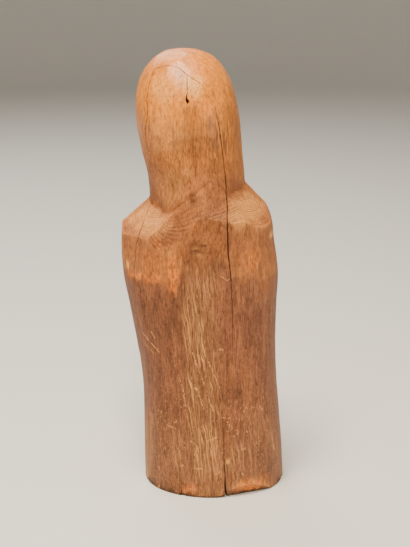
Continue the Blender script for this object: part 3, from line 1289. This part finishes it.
def worn_marks(n, place, height):
    """How strongly each place shows pale wood where the old surface is scratched through."""
    strip, back, bark = (n.painted(name) for name in ("strip", "back", "bark"))
    clumps = n.scaled(n.texture(place, "clumps"), 0.8, 0.2)
    marks = 0.0
    stray = wander(n, place)
    for *course, strength in WORN_LINES:
        line = n.times(worn_lines(n, place, stray, *course), strength)
        marks = n.most(marks, n.times(line, n.times(clumps, strip)))
    low = n.times(n.step(height, *NICKED.height), back)
    patchy = n.scaled(n.texture(place, "patchy"), 0.8, 0.2)
    nicked = n.times(n.most(low, n.times(strip, NICKED.strip)), patchy)
    for nick in NICKS:
        marks = n.most(marks, n.times(nicks(n, place, *nick), nicked))
    speckled = n.plus(n.times(nicked, SPECKS.nicked), n.times(bark, SPECKS.log))
    marks = n.most(marks, n.times(n.texture(place, "specks"), speckled))
    shake = n.times(n.texture(place, "shake"), SCRATCH_SHAKE.reach)
    shaken = n.vector("SCALE", SCRATCH_SHAKE.direction, shake)
    flat = n.vector("ADD", n.vector("MULTIPLY", place, (1, 0, 1)), shaken)
    drawn = 0.0
    for *line, strength in SCRATCHES:
        drawn = n.most(drawn, n.times(scratch_line(n, flat, *line), strength))
    return n.most(marks, n.times(n.times(drawn, n.texture(place, "breaks")), back))


def growth_rings(n, place, covered):
    """The late wood of each year, in shells round the heart of the log that waver along its height."""
    waver = n.times(n.texture(place, "waver"), RING.waver)
    fine_waver = n.times(n.texture(place, "fine_waver"), RING.fine_waver)
    count = n.times(n.plus(n.painted("heart"), n.plus(waver, fine_waver)), 1 / RING.pitch)
    phase = n.math("FRACT", count)
    year = n.random(n.math("FLOOR", count))
    late = n.times(n.step(phase, *RING.starts), n.step(phase, *RING.ends))
    ring = n.times(late, n.scaled(year, RING.year, 1 - RING.year))
    return n.times(ring, n.times(n.painted("crossing"), n.scaled(covered, -RING.hidden, 1.0)))


def wood_material():
    n = Nodes("old_wood")
    metres = n.add("ShaderNodeTexCoord", {}, {}, "Object")
    place = n.vector("SUBTRACT", n.vector("SCALE", metres, 1 / MM), DESIGN_SHIFT)
    height = n.add("ShaderNodeSeparateXYZ", {}, {0: place}, "Z")
    bark, ridge, hollow, front = (n.painted(name) for name in ("bark", "ridge", "hollow", "front"))
    head = n.step(height, *HEAD_RISE)
    crown = n.step(height, *CROWN_RISE)
    ring = growth_rings(n, place, n.most(crown, bark))

    fibre, broad, pores = (n.texture(place, name) for name in ("fibre", "broad", "pores"))
    blotch, small_blotch, grime = (n.texture(place, name) for name in ("blotch", "small_blotch", "grime"))
    streaks = n.times(winding_lines(n, place, *STREAKS), n.step(broad, *STREAKS_SHOW))
    streaks = n.times(streaks, n.times(n.painted("back"), n.step(height, *STREAKS_FALL)))
    seams = n.times(winding_lines(n, place, *SEAMS), n.painted("back"))
    flecks = nicks(n, place, *FLECKS)
    marks = worn_marks(n, place, height)

    # The fresh wood and the log's own, then what age, hands and dirt have laid over both.
    carved = n.mixed(n.step(blotch, *TURNS), CARVED_WOOD, CARVED_WOOD_DEEP)
    natural = n.mixed(n.step(broad, *TURNS), LOG_WOOD, LOG_WOOD_DEEP)
    natural = n.mixed(n.times(n.painted("strip"), n.step(broad, *STRIP_SHOWS)), natural, LOG_STRIP)
    colour = n.mixed(n.plus(n.times(head, COVER.head), n.times(crown, COVER.crown)), carved, HEAD_WOOD)
    colour = n.mixed(bark, colour, natural)
    colour = n.mixed(n.times(n.step(height, *FOOT_FALL), COVER.foot), colour, FOOT_WOOD)
    colour = n.mixed(n.times(grime, COVER.grime), colour, DARK_PATINA)
    colour = n.mixed(n.times(n.times(streaks, head), COVER.streaks), colour, DARK_PATINA)
    colour = n.mixed(n.times(n.times(seams, bark), COVER.seams), colour, DARK_PATINA)
    shaded = n.times(n.step(blotch, *FRONT_SHOWS), COVER.front)
    colour = n.mixed(n.times(front, shaded), colour, LOG_WOOD_DEEP)
    colour = n.mixed(n.painted("dark"), colour, DARK_PATINA)
    colour = n.mixed(n.painted("pale"), colour, PALE_WOOD)
    colour = n.mixed(n.times(n.painted("orange"), n.step(small_blotch, *ORANGE_SHOWS)), colour, ORANGE_WOOD)

    values = {
        "ring": ring, "tone": n.painted("tone"), "fibre": fibre, "small_blotch": small_blotch, "pores": pores,
        "hollow": hollow, "crown": crown, "ridge": ridge, "marks": marks,
    }
    shade = 1.0
    for name, (slope, start) in SHADES.items():
        shade = n.times(shade, n.scaled(values[name], slope, start))
    shade = n.most(shade, DARKEST)
    green, blue = (n.math("POWER", shade, TINT[name]) for name in ("green", "blue"))
    tint = n.add("ShaderNodeCombineXYZ", {}, {0: shade, 1: green, 2: blue})
    colour = n.mixed(1.0, colour, tint, "MULTIPLY")
    colour = n.mixed(n.times(ridge, COVER.ridge), colour, WORN_WOOD)
    colour = n.mixed(n.times(marks, COVER.marks), colour, SCRATCH_WOOD)
    colour = n.mixed(n.times(n.times(flecks, head), COVER.flecks), colour, SCRATCH_WOOD)
    n.feed(n.shader.inputs["Base Color"], colour)
    n.feed(n.shader.inputs["Roughness"], n.plus(n.weighed(values, ROUGHNESS), EVEN_ROUGHNESS))
    n.feed(n.shader.inputs["Specular IOR Level"], n.scaled(crown, GLOSS.crown, GLOSS.all))

    relief = n.times(n.weighed(values, RELIEF), n.scaled(head, -RUBBED, 1.0))
    bump = n.add("ShaderNodeBump", {}, {"Strength": 1.0, "Distance": MM, "Height": relief}, "Normal")
    n.feed(n.shader.inputs["Normal"], bump)
    return n.material


def split_material():
    """The dark, dusty inside of the drying cracks."""
    n = Nodes("split_wood")
    metres = n.add("ShaderNodeTexCoord", {}, {}, "Object")
    fibre = n.noise(n.stretched(metres, Vector(SPLIT_FIBRE) * MM), 2.0)
    n.feed(n.shader.inputs["Base Color"], n.mixed(fibre, SPLIT_DARK, SPLIT_DUST))
    n.feed(n.shader.inputs["Roughness"], n.scaled(fibre, 0.1, 0.85))
    return n.material


def sculpt():
    mesh = carve()
    wear(mesh)
    mesh = fitted("dense", mesh, MOST_TRIANGLES)
    mesh.materials.append(wood_material())
    mesh.materials.append(split_material())
    wood = placed("madonna_wood", mesh)
    split(wood)
    return wood


def make_wood():
    wood = sculpt()
    mesh = wood.data
    paint_wood(mesh)
    low, high = (np.array(corner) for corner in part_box("madonna"))
    points = coordinates(mesh) * MM
    shift = (low + high) / 2 - (points.min(axis=0) + points.max(axis=0)) / 2
    shift[2] = low[2] - points[:, 2].min()
    mesh.transform(Matrix.Translation(Vector(shift)))
    mesh.shade_smooth()
    mesh.set_sharp_from_angle(angle=math.radians(SHARP_ANGLE))
    return wood


def make_floor():
    """A pale floor that curves up into a wall all round, so that no view meets an edge."""
    n = Nodes("pale_floor")
    n.feed(n.shader.inputs["Base Color"], FLOOR_COLOUR)
    n.feed(n.shader.inputs["Roughness"], 0.7)
    radius, curve, steps = FLOOR.radius, FLOOR.curve, FLOOR.steps
    profile = [(FLOOR.inner * radius, 0), (radius, 0)]
    for k in range(1, steps + 1):
        turn = math.pi / 2 * k / steps
        profile.append((radius + curve * math.sin(turn), curve * (1 - math.cos(turn))))
    profile.append((profile[-1][0], FLOOR.wall))
    turns = [2 * math.pi * k / FLOOR.sides for k in range(FLOOR.sides)]
    vertices = [(0, 0, 0)] + [(r * math.cos(a), r * math.sin(a), z) for r, z in profile for a in turns]
    faces = []
    for k in range(FLOOR.sides):
        after = (k + 1) % FLOOR.sides
        faces.append((0, 1 + k, 1 + after))
        for row in range(len(profile) - 1):
            low, high = 1 + row * FLOOR.sides, 1 + (row + 1) * FLOOR.sides
            faces.append((low + k, high + k, high + after, low + after))
    mesh = bpy.data.meshes.new("floor")
    mesh.from_pydata(vertices, [], faces)
    mesh.shade_smooth()
    mesh.materials.append(n.material)
    placed("floor", mesh)


def towards(azimuth, elevation):
    """The direction from the statue to a viewer: azimuth 0 faces her and 90 is on her left."""
    side, rise = math.radians(azimuth), math.radians(elevation)
    return Vector((math.sin(side) * math.cos(rise), -math.cos(side) * math.cos(rise), math.sin(rise)))


def aim(obj, target, direction, distance):
    obj.location = target + direction * distance
    obj.rotation_euler = (-direction).to_track_quat("-Z", "Y").to_euler()


def make_camera():
    lens = bpy.data.cameras.new("camera")
    lens.lens = CAMERA.lens
    lens.clip_end = 100
    camera = placed("camera", lens)
    direction = towards(CAMERA.azimuth, CAMERA.elevation)
    aim(camera, Vector(CAMERA.aim) * MM, direction, CAMERA.distance * MM)
    bpy.context.scene.camera = camera


def make_lights():
    for name, azimuth, elevation, distance, size, power, colour in LIGHTS:
        light = bpy.data.lights.new(name, "AREA")
        light.shape = "DISK"
        light.size = size
        light.energy = power
        light.color = colour
        aim(placed(name, light), Vector(LIGHTS_AIM), towards(azimuth, elevation), distance)
    world = bpy.data.worlds.new("studio")
    world.use_nodes = True
    background = world.node_tree.nodes["Background"]
    background.inputs["Color"].default_value = WORLD_COLOUR
    background.inputs["Strength"].default_value = WORLD_STRENGTH
    bpy.context.scene.world = world


make_camera()
make_lights()
make_floor()
wood = make_wood()
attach(wood, "root")
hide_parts("madonna")
